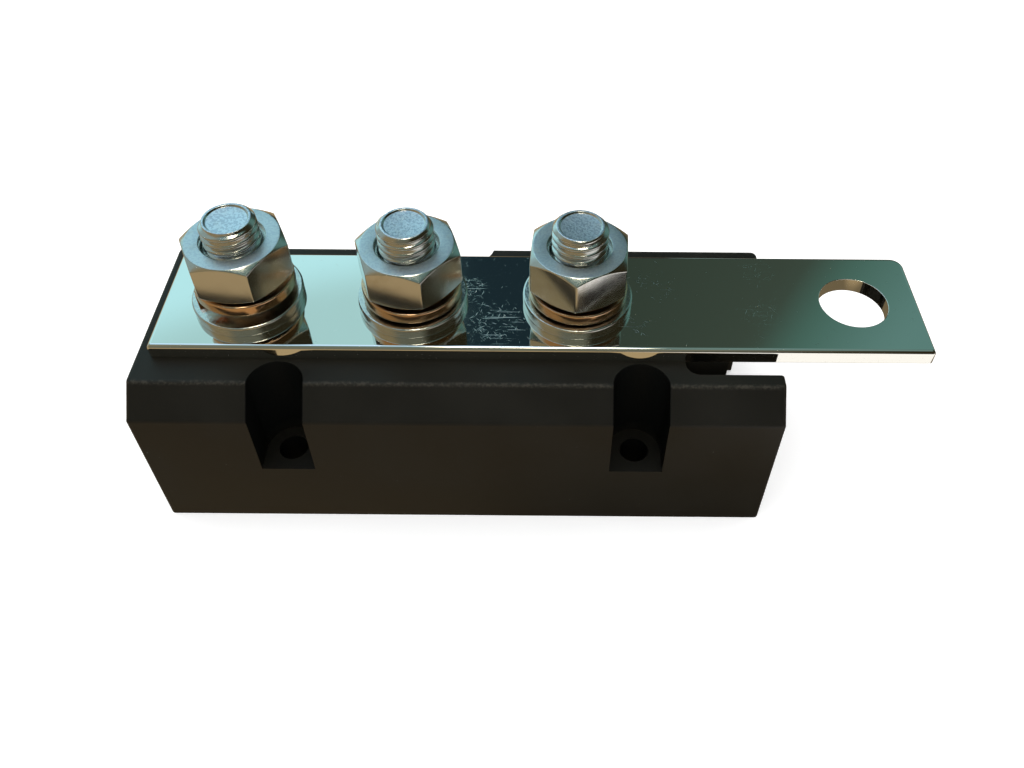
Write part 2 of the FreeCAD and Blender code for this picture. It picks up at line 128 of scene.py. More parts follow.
# Heights on the unit sphere where the screen's bright foot ends and where the roof starts.
FOOT_END = (0.650, 0.690)
ROOF_START = (0.84, 0.91)

# Stage: sizes of its two planes, how far they lie under the base, and the soft light over them.
FLOOR_WIDTH = 8.0
FLOOR_DROP = 0.05 * MM
TABLE_WIDTH = 1.2
TABLE_DROP = 0.10 * MM
LIGHT_WIDTH = 1.6
LIGHT_HEIGHT = 0.9


# ---------------------------------------------------------------- properties


def length(name, description, default):
    return FloatProperty(name=name, description=description, default=default, unit="LENGTH", precision=5)


def amount(name, description, default):
    return FloatProperty(name=name, description=description, default=default, min=0.0)


def colour(name, description, default):
    return FloatVectorProperty(name=name, description=description, default=default, size=3, subtype="COLOR")


class BusbarThread(bpy.types.PropertyGroup):
    """Sizes of the M10 thread and of the hexagons that go with it."""

    major: length("Major diameter", "Diameter over the thread's crests", 10.0 * MM)
    pitch: length("Pitch", "Rise of the thread in one turn", 1.5 * MM)
    depth: length("Depth", "Depth of the thread from crest to root", 0.86 * MM)
    neck: length("Neck", "Plain length under the head", 2.0 * MM)
    tip: length("Tip chamfer", "Width and height of the chamfer at the stud's end", 0.75 * MM)
    cup: length("Tip cup", "Diameter of the shallow cup that thread rolling leaves in the end", 7.5 * MM)
    cup_depth: length("Cup depth", "Depth of that cup", 0.3 * MM)
    flats: length("Across flats", "Width of the nut and of the stud's head", 17.0 * MM)
    cone: length("Chamfer circle", "Radius where the corner chamfer meets a face", 8.3 * MM)
    slope: amount("Chamfer slope", "Fall of the corner chamfer for each unit outwards", 0.66)
    countersink: length("Countersink", "Width and depth of the countersink at the nut's bore", 0.75 * MM)
    bore: length("Bore", "Diameter of the nut's bore over the thread", 10.16 * MM)
    edge: length("Edge", "Reach of the rounding along a hexagon's edges", 0.16 * MM)


class BusbarWashers(bpy.types.PropertyGroup):
    """Sizes of the washers that the frame's boxes don't give."""

    flat_bore: length("Flat washer bore", "Diameter of the flat washer's hole", 10.5 * MM)
    flat_roll: length("Rolled edge", "Rounding of the edge where the punch went in", 0.38 * MM)
    flat_burr: length("Burr edge", "Rounding of the edge where the punch came out", 0.12 * MM)
    spring_bore: length("Spring washer bore", "Diameter of the spring washer's hole", 10.4 * MM)
    spring_wire: length("Wire height", "Thickness of the spring washer's wire", 2.2 * MM)
    spring_gap: FloatProperty(
        name="Gap", description="Opening at the split", default=math.radians(8), subtype="ANGLE",
    )
    spring_slant: FloatProperty(
        name="Slant", description="Lean of the cut across the wire's height",
        default=math.radians(10), subtype="ANGLE",
    )
    spring_round: length("Wire edge", "Rounding of the wire's edges", 0.32 * MM)


class BusbarFinish(bpy.types.PropertyGroup):
    """Colours of the finishes."""

    plastic: colour("Moulding", "Black moulding compound", (0.0072, 0.0067, 0.0048))
    plating: colour("Bar plating", "Bright plating of the link bar", (0.86, 0.88, 0.86))
    zinc: colour("Zinc", "Blue-passivated zinc of nuts, washers and studs", (0.71, 0.735, 0.735))
    spring_steel: colour("Spring washer", "Warmer zinc on spring steel", (0.80, 0.54, 0.35))
    board: colour("Insulating plate", "Pressed fibre board", (0.09, 0.055, 0.035))
    screw: colour("Plate screws", "Yellow-passivated zinc", (0.74, 0.62, 0.38))


class BusbarStage(bpy.types.PropertyGroup):
    """Camera, floor and light."""

    camera_place: FloatVectorProperty(
        name="Camera place", description="Where the camera stands", size=3, subtype="XYZ", unit="LENGTH",
        precision=5, default=(1.06 * MM, -122.02 * MM, 157.60 * MM),
    )
    camera_turn: FloatVectorProperty(
        name="Camera turn", description="How the camera is turned", size=3, subtype="EULER",
        default=(math.radians(43.557), math.radians(-0.348), math.radians(0.307)),
    )
    lens: FloatProperty(name="Lens", description="Focal length in mm on a 36 mm sensor", default=32.26)
    shift: FloatVectorProperty(
        name="Shift", description="Sideways and upward shift of the lens", size=2,
        default=(-0.0275, -0.0532),
    )
    floor: colour("Floor", "Pale floor", (0.93, 0.93, 0.93))
    table: colour("Table tone", "Warm tone that the metal reflects from below", (0.43, 0.305, 0.155))
    floor_light: FloatProperty(
        name="Floor light", description="Power of the soft light overhead in W", default=4.0,
    )


# ------------------------------------------------------------------ surfaces


def skin(name, points, wrap_rows=False, poles=(False, False)):
    """Mesh of a grid of points shaped (rows, columns, 3). Columns always close into rings; rows close too
    when wrap_rows is set. A pole replaces an end ring by its middle point, and a fan closes it."""
    rows, columns = points.shape[:2]
    index = np.arange(rows * columns).reshape(rows, columns)
    here = index if wrap_rows else index[:-1]
    above = np.roll(index, -1, axis=0) if wrap_rows else index[1:]
    quads = np.stack([here, np.roll(here, -1, axis=1), np.roll(above, -1, axis=1), above], axis=-1)
    vertices = points.reshape(-1, 3)
    faces = quads.reshape(-1, 4).tolist()
    for end, wanted in zip((0, -1), poles):
        if wanted:
            ring = index[end]
            middle = len(vertices)
            vertices = np.vstack([vertices, points[end].mean(axis=0)])
            fan = np.stack([np.roll(ring, -1), ring, np.full(columns, middle)], axis=-1)
            faces += (fan if end == 0 else fan[:, ::-1]).tolist()
    mesh = bpy.data.meshes.new(name)
    mesh.from_pydata(vertices.tolist(), [], faces)
    mesh.polygons.foreach_set("use_smooth", np.ones(len(mesh.polygons), bool))
    mesh.update()
    piece = bpy.data.objects.new(name, mesh)
    bpy.context.scene.collection.objects.link(piece)
    return piece


def rounded(stations, reaches, closed=False, steps=5):
    """Outline through stations shaped (columns, 2) of radius and height. Each corner becomes a quadratic
    curve that leaves the straight lines its own reach away; the ends of an open outline stay as they are."""
    rows = []
    last = len(stations) - 1
    t = np.linspace(0.0, 1.0, steps)[:, None, None]
    for i, (corner, reach) in enumerate(zip(stations, reaches)):
        if not closed and i in (0, last):
            rows.append(corner[None])
            continue
        back = stations[i - 1] - corner
        ahead = stations[(i + 1) % len(stations)] - corner
        back_length = np.linalg.norm(back, axis=-1, keepdims=True)
        ahead_length = np.linalg.norm(ahead, axis=-1, keepdims=True)
        cut = np.minimum(reach, 0.45 * np.minimum(back_length, ahead_length))
        start = corner + back / back_length * cut
        end = corner + ahead / ahead_length * cut
        rows.append((1 - t) ** 2 * start + 2 * t * (1 - t) * corner + t**2 * end)
    return np.concatenate(rows)


def station(radius, height, columns):
    """One corner of a turned outline: a radius and a height for every column."""
    return np.stack(np.broadcast_arrays(np.zeros(columns) + radius, np.zeros(columns) + height), axis=-1)


def turned(outline, angles, middle):
    """Carry an outline of (radius, height) around the vertical through middle: x = r cos a, y = r sin a."""
    radius, height = outline[..., 0], outline[..., 1]
    across = middle[0] + radius * np.cos(angles)
    along = middle[1] + radius * np.sin(angles)
    return np.stack([across, along, height], axis=-1)


def hexagon_angles(turn, per_side=30):
    """Angles round a hexagon, closer together at its corners, with its first corner at turn."""
    s = np.linspace(-1.0, 1.0, per_side, endpoint=False)
    swept = np.sign(s) * (1 - (1 - np.abs(s)) ** 2)
    side = math.radians(30) * (1 + swept)
    return (turn + side[None] + math.radians(60) * np.arange(6)[:, None]).ravel()


def hexagon_radius(angles, turn, flats, sharpness=170):
    """Radius of a hexagon with slightly soft corners: half the flats over the p-norm of the six cosines."""
    sides = turn + math.radians(30) + math.radians(60) * np.arange(6)
    cosines = np.clip(np.cos(angles[None] - sides[:, None]), 0.0, None)
    return flats / 2 / (cosines**sharpness).sum(axis=0) ** (1 / sharpness)


def node_points(node):
    """Corners of a CAD node's mesh."""
    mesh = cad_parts[node].data
    points = np.zeros(len(mesh.vertices) * 3)
    mesh.vertices.foreach_get("co", points)
    return points.reshape(-1, 3)


def axis_of(node):
    """Middle of a node's box seen from above."""
    low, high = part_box(node)
    return np.array([(low.x + high.x) / 2, (low.y + high.y) / 2])


def stud_axis(number):
    """Where a stud stands: its head is symmetric, so the middle of its box."""
    return axis_of(f"stud_bolt_{number}")


def corner_turn(node, middle):
    """Direction of a hexagon's first corner, from the outermost point of its node."""
    offset = node_points(node)[:, :2] - middle
    x, y = offset[np.argmax(np.hypot(*offset.T))]
    return math.atan2(y, x)


def split_turn(node, middle):
    """Direction of a spring washer's split: the middle of the widest gap between its points."""
    offset = node_points(node)[:, :2] - middle
    angles = np.sort(np.arctan2(offset[:, 1], offset[:, 0]))
    gaps = np.diff(np.append(angles, angles[0] + 2 * math.pi))
    widest = np.argmax(gaps)
    return angles[widest] + gaps[widest] / 2


# ----------------------------------------------------------------- materials


class Term:
    """One number that varies over a surface: a socket with sums written as Python."""

    def __init__(self, recipe, socket):
        self.recipe = recipe
        self.socket = socket

    def _sum(self, operation, left, right=0.0, third=0.0):
        node = self.recipe.node("ShaderNodeMath", {"operation": operation}, {0: left, 1: right, 2: third})
        return Term(self.recipe, node.outputs[0])

    def __add__(self, other):
        return self._sum("ADD", self, other)

    def __sub__(self, other):
        return self._sum("SUBTRACT", self, other)

    def __mul__(self, other):
        return self._sum("MULTIPLY", self, other)

    def __rsub__(self, other):
        return self._sum("SUBTRACT", other, self)

    __radd__ = __add__
    __rmul__ = __mul__

    def between(self, low, high):
        """0 below low, 1 above high and a smooth step in between."""
        node = self.recipe.node(
            "ShaderNodeMapRange", {"interpolation_type": "SMOOTHSTEP"}, {"Value": self, 1: low, 2: high}
        )
        return Term(self.recipe, node.outputs[0])

    def power(self, exponent):
        return self._sum("POWER", self, exponent)

    def at_most(self, other):
        return self._sum("MINIMUM", self, other)

    def at_least(self, other):
        return self._sum("MAXIMUM", self, other)

    def direction_from(self, other):
        """Angle of the point (other, self) from the first axis."""
        return self._sum("ARCTAN2", self, other)


class Recipe:
    """A node tree being written."""

    def __init__(self, tree):
        self.tree = tree
        tree.nodes.clear()

    def node(self, kind, settings=None, sockets=None):
        """Add a node, set its settings and a ramp's stops, then the values or links of its sockets."""
        made = self.tree.nodes.new(kind)
        for key, value in (settings or {}).items():
            if key == "stops":
                self._set_stops(made.color_ramp, value)
            else:
                setattr(made, key, value)
        for key, value in (sockets or {}).items():
            target = made.inputs[key]
            if isinstance(value, Term):
                value = value.socket
            if isinstance(value, bpy.types.NodeSocket):
                self.tree.links.new(value, target)
            else:
                target.default_value = value
        return made

    @staticmethod
    def _set_stops(ramp, stops):
        while len(ramp.elements) < len(stops):
            ramp.elements.new(0.5)
        for element, (position, shade) in zip(ramp.elements, stops):
            element.position = position
            element.color = (*shade, 1.0)

    def place(self, stretch=(1, 1, 1), turn=(0, 0, 0), move=(0, 0, 0)):
        """Object coordinates for a pattern that is stretched along its own axes, turned and moved."""
        coordinates = self.node("ShaderNodeTexCoord").outputs["Object"]
        sockets = {"Vector": coordinates, "Scale": stretch, "Rotation": turn, "Location": move}
        return self.node("ShaderNodeMapping", {"vector_type": "TEXTURE"}, sockets).outputs[0]

    def noise(self, cell, detail=3.0, roughness=0.5, **placing):
        """Smooth noise whose features are about one cell across, in metres, placed as place says."""
        sockets = {
            "Vector": self.place(**placing),
            "Scale": 1.0 / cell,
            "Detail": detail,
            "Roughness": roughness,
        }
        return Term(self, self.node("ShaderNodeTexNoise", None, sockets).outputs[0])

    def specks(self, cell, size, move=(0, 0, 0)):
        """Small separate dots: 1 inside each, from the distance to scattered cell points."""
        sockets = {"Vector": self.place(move=move), "Scale": 1.0 / cell}
        cells = self.node("ShaderNodeTexVoronoi", {"feature": "F1"}, sockets)
        return 1 - Term(self, cells.outputs["Distance"]).between(size * 0.6, size)

    def part(self, axis):
        """One object coordinate, in metres."""
        coordinates = self.node("ShaderNodeTexCoord").outputs["Object"]
        split = self.node("ShaderNodeSeparateXYZ", None, {0: coordinates})
        return Term(self, split.outputs[axis])

    def blend(self, factor, first, second):
        """Colour between two colours or colour sockets."""
        sockets = {"Factor": factor, 6: self._shade(first), 7: self._shade(second)}
        return self.node("ShaderNodeMix", {"data_type": "RGBA"}, sockets).outputs[2]

    @staticmethod
    def _shade(value):
        return value if isinstance(value, bpy.types.NodeSocket) else (*value, 1.0)

    def shader(self, sockets):
        return self.node("ShaderNodeBsdfPrincipled", None, sockets).outputs[0]

    def mixed(self, factor, first, second):
        return self.node("ShaderNodeMixShader", None, {0: factor, 1: first, 2: second}).outputs[0]

    def surface(self, shader):
        self.node("ShaderNodeOutputMaterial", None, {"Surface": shader})

    def facing_up(self):
        """1 on faces that look straight up, from the piece's own normal."""
        normal = self.node("ShaderNodeTexCoord").outputs["Normal"]
        split = self.node("ShaderNodeSeparateXYZ", None, {0: normal})
        return Term(self, split.outputs["Z"]).between(0.90, 0.97)

    def bump(self, height, depth, strength=1.0, after=None):
        """Normal from a height term; depth is its real height in metres."""
        sockets = {"Height": height, "Distance": depth, "Strength": strength}
        if after is not None:
            sockets["Normal"] = after
        return self.node("ShaderNodeBump", None, sockets).outputs[0]


def new_material(name):
    material = bpy.data.materials.new(name)
    material.use_nodes = True
    return material, Recipe(material.node_tree)


def finish_material(recipe, sockets):
    recipe.surface(recipe.shader(sockets))


def distance(first, second):
    """Length of the diagonal over two terms."""
    return (first.power(2.0) + second.power(2.0)).power(0.5)


def rubbed_ledges(recipe, y, z):
    """1 along the two long edges of the deck, where they are rubbed and carry a painted highlight, broken up
    by noise.
    """
    rubbed = 0.0
    for edge in LEDGE_EDGES:
        away = distance(y - edge, z - BASE_TOP)
        rubbed = rubbed + (1 - away.between(0.25 * MM, 0.75 * MM))
    return rubbed.at_most(1.0) * recipe.noise(0.5 * MM, detail=3.0).between(0.40, 0.66)


def inside_pockets(x, y, z):
    """Where the painted shade of the mounting pockets goes: 1 on their walls, less on their floors, 0 on the
    faces they open through.
    """
    inside = 0.0
    for centre_x, centre_y in POCKETS:
        inwards = -1 if centre_y > 0 else 1
        past_axis = ((y - centre_y) * inwards).at_least(0.0)
        away = distance(x - centre_x, past_axis)
        within = 1 - away.between(POCKET_RADIUS + 0.07 * MM, POCKET_RADIUS + 0.17 * MM)
        outwards = (y - centre_y) * -inwards
        outside_face = outwards.between(POCKET_TO_FACE - 0.10 * MM, POCKET_TO_FACE - 0.03 * MM)
        inside = inside + within * (1 - outside_face)
    at_floor = z.between(POCKET_FLOOR - 0.25 * MM, POCKET_FLOOR - 0.05 * MM)
    at_floor = at_floor * (1 - z.between(POCKET_FLOOR + 0.3 * MM, POCKET_FLOOR + 3.0 * MM))
    above_panel = z.between(0.2 * MM, 0.6 * MM)
    return inside.at_most(1.0) * (1 - at_floor * 0.6) * above_panel


def plastic_finish():
    """Black moulding: fine spark-eroded grain, faint cloudiness, pale dust specks, rubbed ledges with a
    painted highlight, and painted shade in the mounting pockets, which makes their walls darker and duller."""
    finish = bpy.context.scene.busbar_finish
    material, recipe = new_material("satin_black_moulding")
    x, y, z = (recipe.part(axis) for axis in "XYZ")
    cloud = recipe.noise(18 * MM, detail=4.0)
    grain = recipe.noise(0.35 * MM, detail=2.0)
    dust = recipe.specks(2.6 * MM, 0.055) * recipe.noise(9 * MM).between(0.5, 0.7)
    clouded = [1.35 * c for c in finish.plastic]
    body = recipe.blend(cloud.between(0.35, 0.7), finish.plastic, clouded)
    shade = recipe.blend(dust * 0.5, body, (0.20, 0.19, 0.17))
    # Lighter tone along the deck's edges: rubbed wear together with a painted highlight of the rounded edge.
    shade = recipe.blend(rubbed_ledges(recipe, y, z) * 0.20, shade, (0.095, 0.085, 0.065))
    roughness = 0.46 + cloud.between(0.3, 0.75) * 0.08 + dust * 0.2
    relief = grain * 0.8 + recipe.noise(1.6 * MM, detail=2.0) * 0.2
    normal = recipe.bump(relief, 0.02 * MM, 0.35)
    open_face = recipe.shader({
        "Base Color": shade,
        "Roughness": roughness,
        "Specular IOR Level": 0.27,
        "Normal": normal,
    })
    # Painted shade: a near-black, barely specular shader for the pockets' walls and floors.
    painted_pocket_shade = recipe.shader({
        "Base Color": recipe.blend(cloud, (0.0034, 0.0038, 0.0034), (0.0046, 0.0050, 0.0045)),
        "Roughness": roughness,
        "Specular IOR Level": 0.03,
        "Normal": normal,
    })
    # The pockets' painted shade is mixed in over the open faces.
    recipe.surface(recipe.mixed(inside_pockets(x, y, z), open_face, painted_pocket_shade))
    return material


def scratches(recipe, cell, stretch, turn, level, fade, move=(0, 0, 0)):
    """Thin streaks: noise drawn out along one direction, kept where it rises past a level."""
    streak = recipe.noise(cell, detail=1.0, stretch=(stretch, 1, 1), turn=(0, 0, turn), move=move)
    return ((streak - level) * (1 / fade)).at_least(0.0).at_most(1.0)


def plating_finish():
    """Mirror-bright plating: faint rolling waves, wiped haze, long straight drag marks and short scuffs."""
    finish = bpy.context.scene.busbar_finish
    material, recipe = new_material("bright_plating")
    haze = recipe.noise(22 * MM, detail=5.0, roughness=0.6)
    wave = recipe.noise(38 * MM, detail=0.0)
    x, y = recipe.part("X"), recipe.part("Y")
    worn = 0.0
    for centre_x, centre_y, reach in WORN_SPOTS:
        away = distance(x - centre_x * MM, y - centre_y * MM)
        worn = (worn + (1 - away.between(0.4 * reach * MM, reach * MM))).at_most(1.0)
    long_marks = scratches(recipe, 0.13 * MM, 90, 0.0, 0.69, 0.05)
    short_marks = 0.0
    for turn, x_move, y_move in ((0.5, 0.1, 0.2), (1.25, 0.4, 0.7), (2.2, 0.9, 0.3), (2.8, 0.5, 0.6)):
        level = 0.77 - worn * 0.08
        move = (x_move, y_move, 0)
        short_marks = short_marks + scratches(recipe, 0.13 * MM, 18, turn, level, 0.07, move)
    marks = (long_marks * worn + short_marks).at_most(1.0)
    pits = recipe.specks(1.5 * MM, 0.05, (0.2, 0.5, 0)) * recipe.noise(7 * MM).between(0.52, 0.62)
    shade = recipe.blend((marks + pits).at_most(1.0) * 0.5, finish.plating, (0.62, 0.60, 0.55))
    roughness = 0.035 + haze.between(0.45, 0.75) * 0.05 + marks * 0.34 + pits * 0.3
    rolled = recipe.bump(wave, 0.05 * MM, 1.0)
    finish_material(recipe, {
        "Base Color": shade,
        "Metallic": 1.0,
        "Roughness": roughness,
        "Normal": recipe.bump(marks + pits, 0.003 * MM, 1.0, rolled),
    })
    return material


def zinc_finish(name, tint, rough, grain_depth, top_rough=None, top_painted_skylight=None, frost=0.2):
    """Zinc plate: crystalline grain, cloudy passivation and a few brighter knocks. Faces that look straight
    up are frosted and may be rougher, as forged and sheared ends are, and may take another tint, a painted
    bluish sky reflection."""
    material, recipe = new_material(name)
    cloud = recipe.noise(3.2 * MM, detail=4.0, roughness=0.6)
    grain = recipe.noise(0.20 * MM, detail=3.0, roughness=0.7)
    frosting = recipe.noise(0.42 * MM, detail=2.0).between(0.44, 0.58)
    knocks = recipe.specks(0.9 * MM, 0.14, (0.3, 0.1, 0.2)) * recipe.noise(3 * MM).between(0.5, 0.6)
    up = recipe.facing_up()
    # Faces that look up take a painted sky reflection in their colour.
    plain = recipe.blend(up, tint, top_painted_skylight or tint)
    dull = recipe.blend(cloud.between(0.50, 0.80) * 0.30, plain, (0.50, 0.42, 0.30))
    frosted = recipe.blend(up * frosting * frost, dull, (0.26, 0.34, 0.50))
    shade = recipe.blend(knocks * 0.5, frosted, (0.92, 0.92, 0.90))
    roughness = rough + up * ((top_rough or rough) - rough) + cloud.between(0.3, 0.8) * 0.05
    finish_material(recipe, {
        "Base Color": shade,
        "Metallic": 1.0,
        "Roughness": roughness + grain.between(0.35, 0.7) * 0.03,
        "Normal": recipe.bump((grain + frosting + knocks * 0.6) * (0.10 + up * 0.90), grain_depth, 0.9),
    })
    return material


def board_finish():
    """Pressed fibre board: mottled brown with short fibres."""
    finish = bpy.context.scene.busbar_finish
    material, recipe = new_material("fibre_board")
    fibre = recipe.noise(0.5 * MM, detail=3.0, stretch=(4, 1, 1))
    mottle = recipe.noise(4 * MM, detail=4.0)
    shade = recipe.blend((fibre * 0.6 + mottle * 0.4).between(0.35, 0.65), finish.board, (0.15, 0.10, 0.06))
    finish_material(recipe, {
        "Base Color": shade,
        "Roughness": 0.55 + mottle * 0.2,
        "Normal": recipe.bump(fibre, 0.03 * MM, 0.6),
    })
    return material


# -------------------------------------------------------------------- pieces


def dress(piece, body, node, material):
    """Finish a new piece, make it ride on its body and stand for its CAD node."""
    piece.data.materials.clear()
    piece.data.materials.append(material)
    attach(piece, body)
    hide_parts(node)


def recoat(node, material):
    """Give a CAD node a better material through its object's slot."""
    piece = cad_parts[node]
    if not piece.material_slots:
        piece.data.materials.append(material)
    for held in piece.material_slots:
        held.material = material


def softened(node, name, reach, angle=30):
    """Copy a CAD node, join its loose triangles into whole faces and round every sharp edge."""
    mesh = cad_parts[node].data.copy()
    mesh.name = name
    work = bmesh.new()
    work.from_mesh(mesh)
    bmesh.ops.remove_doubles(work, verts=work.verts, dist=0.0005 * MM)
    bmesh.ops.dissolve_limit(
        work, angle_limit=math.radians(0.4), use_dissolve_boundaries=False,
        verts=work.verts, edges=work.edges,
    )
    work.to_mesh(mesh)
    work.free()
    mesh.polygons.foreach_set("use_smooth", np.ones(len(mesh.polygons), bool))
    piece = bpy.data.objects.new(name, mesh)
    bpy.context.scene.collection.objects.link(piece)
    bevel = piece.modifiers.new("Soft edges", "BEVEL")
    bevel.width = reach
    bevel.segments = 3
    bevel.limit_method = "ANGLE"
    bevel.angle_limit = math.radians(angle)
    bevel.use_clamp_overlap = True
    even = piece.modifiers.new("Flat faces stay flat", "WEIGHTED_NORMAL")
    even.mode = "FACE_AREA"
    even.weight = 100
    return piece


class BUSBAR_OT_base(bpy.types.Operator):
    """Moulded base with softened edges and a satin black finish"""

    bl_idname = "busbar.base"
    bl_label = "Base"

    def execute(self, context):
        piece = softened("base_moulding", "base_moulding_soft", 0.28 * MM)
        dress(piece, "base", "base_moulding", plastic_finish())
        return {"FINISHED"}


class BUSBAR_OT_bar(bpy.types.Operator):
    """Link bar with eased edges and bright plating"""

    bl_idname = "busbar.bar"
    bl_label = "Link bar"

    def execute(self, context):
        piece = softened("link_bar", "link_bar_plated", 0.12 * MM)
        dress(piece, "base", "link_bar", plating_finish())
        return {"FINISHED"}


def thread_radius(height, angles, thread):
    """Radius of a right-hand thread: root plus depth times a smoothed ramp of the distance to the groove's
    middle, which climbs one pitch a turn. Height is measured from under the head."""
    phase = (height - GROOVE_START) / thread.pitch - angles / (2 * math.pi)
    aside = np.abs(phase - np.round(phase))
    ramp = np.clip((aside - ROOT_REACH) / (CREST_START - ROOT_REACH), 0.0, 1.0)
    eased = ramp * ramp * (3 - 2 * ramp)
    begun = np.clip((height - thread.neck) / thread.pitch, 0.0, 1.0)
    return thread.major / 2 - thread.depth * begun * (1 - (0.55 * eased + 0.45 * ramp))


def softer_minimum(a, b, width):
    """The smaller of two values, rounded off where they cross, over about the given width."""
    return (a + b - np.sqrt((a - b) ** 2 + width**2)) / 2


def hexagon_drop(hexagon, thread):
    """How far the corner chamfer falls from a face at each direction."""
    return np.maximum(thread.slope * (hexagon - thread.cone), 0.02 * MM)


class BUSBAR_OT_studs(bpy.types.Operator):
    """Three studs with a rolled thread, a chamfered tip and a hexagon head under the deck"""

    bl_idname = "busbar.studs"
    bl_label = "Studs"
    head: length("Head height", "Height of the hexagon head", 6.4 * MM)
    rows_per_pitch: IntProperty(name="Rows per pitch", description="Rings along one turn", default=16)

    def execute(self, context):
        finish = context.scene.busbar_finish
        # The pale blue of the stud ends is a painted sky reflection.
        material = zinc_finish(
            "stud_zinc_finish", finish.zinc, 0.14, 0.022 * MM,
            top_rough=0.35, top_painted_skylight=(0.80, 0.88, 1.00), frost=0.40,
        )
        for number in STACKS:
            points = self.points(context.scene.busbar_thread, number)
            piece = skin(f"stud_bolt_{number}_threaded", points, poles=(True, True))
            dress(piece, "base", f"stud_bolt_{number}", material)
        return {"FINISHED"}

    def points(self, thread, number):
        node = f"stud_bolt_{number}"
        low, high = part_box(node)
        middle = stud_axis(number)
        turn = corner_turn(node, middle)
        angles = hexagon_angles(turn, per_side=24)
        columns = len(angles)
        seat = low.z + self.head
        hexagon = hexagon_radius(angles, turn, thread.flats)
        drop = hexagon_drop(hexagon, thread)
        shank = thread.major / 2
        head = rounded(
            [
                station(POLE_RING, low.z, columns),
                station(thread.cone, low.z, columns),
                station(hexagon, low.z + drop, columns),
                station(hexagon, seat, columns),
                station(shank, seat, columns),
            ],
            [0, thread.edge, thread.edge, thread.edge, 0],
        )
        shoulder = high.z - 0.5 * thread.tip
        rows = int((shoulder - seat) / thread.pitch * self.rows_per_pitch)
        height = np.linspace(seat, shoulder, rows)[:, None]
        cone = thread.major / 2 - thread.tip + (high.z - height)
        radius = softer_minimum(thread_radius(height - seat, angles[None], thread), cone, 0.08 * MM)
        body = np.stack([radius, np.broadcast_to(height, radius.shape)], axis=-1)
        cup = thread.cup / 2
        tip = rounded(
            [
                body[-1],
                station(thread.major / 2 - thread.tip, high.z, columns),
                station(cup, high.z, columns),
                station(cup - 0.5 * thread.cup_depth, high.z - thread.cup_depth, columns),
                station(POLE_RING, high.z - thread.cup_depth, columns),
            ],
            [0, 0.3 * MM, 0.2 * MM, 0.15 * MM, 0],
        )
        return turned(np.concatenate([head, body[1:], tip[1:]]), angles, middle)


class BUSBAR_OT_nuts(bpy.types.Operator):
    """Three hexagon nuts with rounded edges, corner chamfers and countersunk bores"""

    bl_idname = "busbar.nuts"
    bl_label = "Nuts"

    def execute(self, context):
        finish = context.scene.busbar_finish
        # The bluish tone of the nut tops is a painted sky reflection.
        material = zinc_finish(
            "nut_zinc_finish", finish.zinc, 0.15, 0.010 * MM, top_rough=0.39, top_painted_skylight=(0.66, 0.74, 0.80),
        )
        for number in STACKS:
            points = self.points(context.scene.busbar_thread, number)
            piece = skin(f"hex_nut_{number}_rounded", points, wrap_rows=True)
            dress(piece, f"nut_{number}", f"hex_nut_{number}", material)
        return {"FINISHED"}

    def points(self, thread, number):
        node = f"hex_nut_{number}"
        low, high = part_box(node)
        middle = stud_axis(number)
        turn = corner_turn(node, middle)
        angles = hexagon_angles(turn)
        columns = len(angles)
        hexagon = hexagon_radius(angles, turn, thread.flats)
        drop = hexagon_drop(hexagon, thread)
        bore = thread.bore / 2
        sunk = bore + thread.countersink
        outline = rounded(
            [
                station(sunk, low.z, columns),
                station(thread.cone, low.z, columns),
                station(hexagon, low.z + drop, columns),
                station(hexagon, high.z - drop, columns),
                station(thread.cone, high.z, columns),
                station(sunk, high.z, columns),
                station(bore, high.z - thread.countersink, columns),
                station(bore, low.z + thread.countersink, columns),
            ],
            [thread.edge] * 8,
            closed=True,
        )
        return turned(outline, angles, middle)


class BUSBAR_OT_flat_washers(bpy.types.Operator):
    """Three stamped flat washers, rolled on the upper edge and sharper below"""

    bl_idname = "busbar.flat_washers"
    bl_label = "Flat washers"

    def execute(self, context):
        finish = context.scene.busbar_finish
        sizes = context.scene.busbar_washers
        material = zinc_finish("flat_washer_finish", finish.zinc, 0.13, 0.008 * MM)
        for number in STACKS:
            low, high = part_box(f"flat_washer_{number}")
            angles = np.linspace(0, 2 * math.pi, 192, endpoint=False)
            columns = len(angles)
            rim = (high.x - low.x) / 2
            bore = sizes.flat_bore / 2
            outline = rounded(
                [
                    station(bore, low.z, columns),
                    station(rim, low.z, columns),
                    station(rim, high.z, columns),
                    station(bore, high.z, columns),
                ],
                [sizes.flat_burr, sizes.flat_burr, sizes.flat_roll, sizes.flat_roll],
                closed=True,
                steps=7,
            )
            points = turned(outline, angles, stud_axis(number))
            piece = skin(f"flat_washer_{number}_stamped", points, wrap_rows=True)
            dress(piece, f"washers_{number}", f"flat_washer_{number}", material)
        return {"FINISHED"}


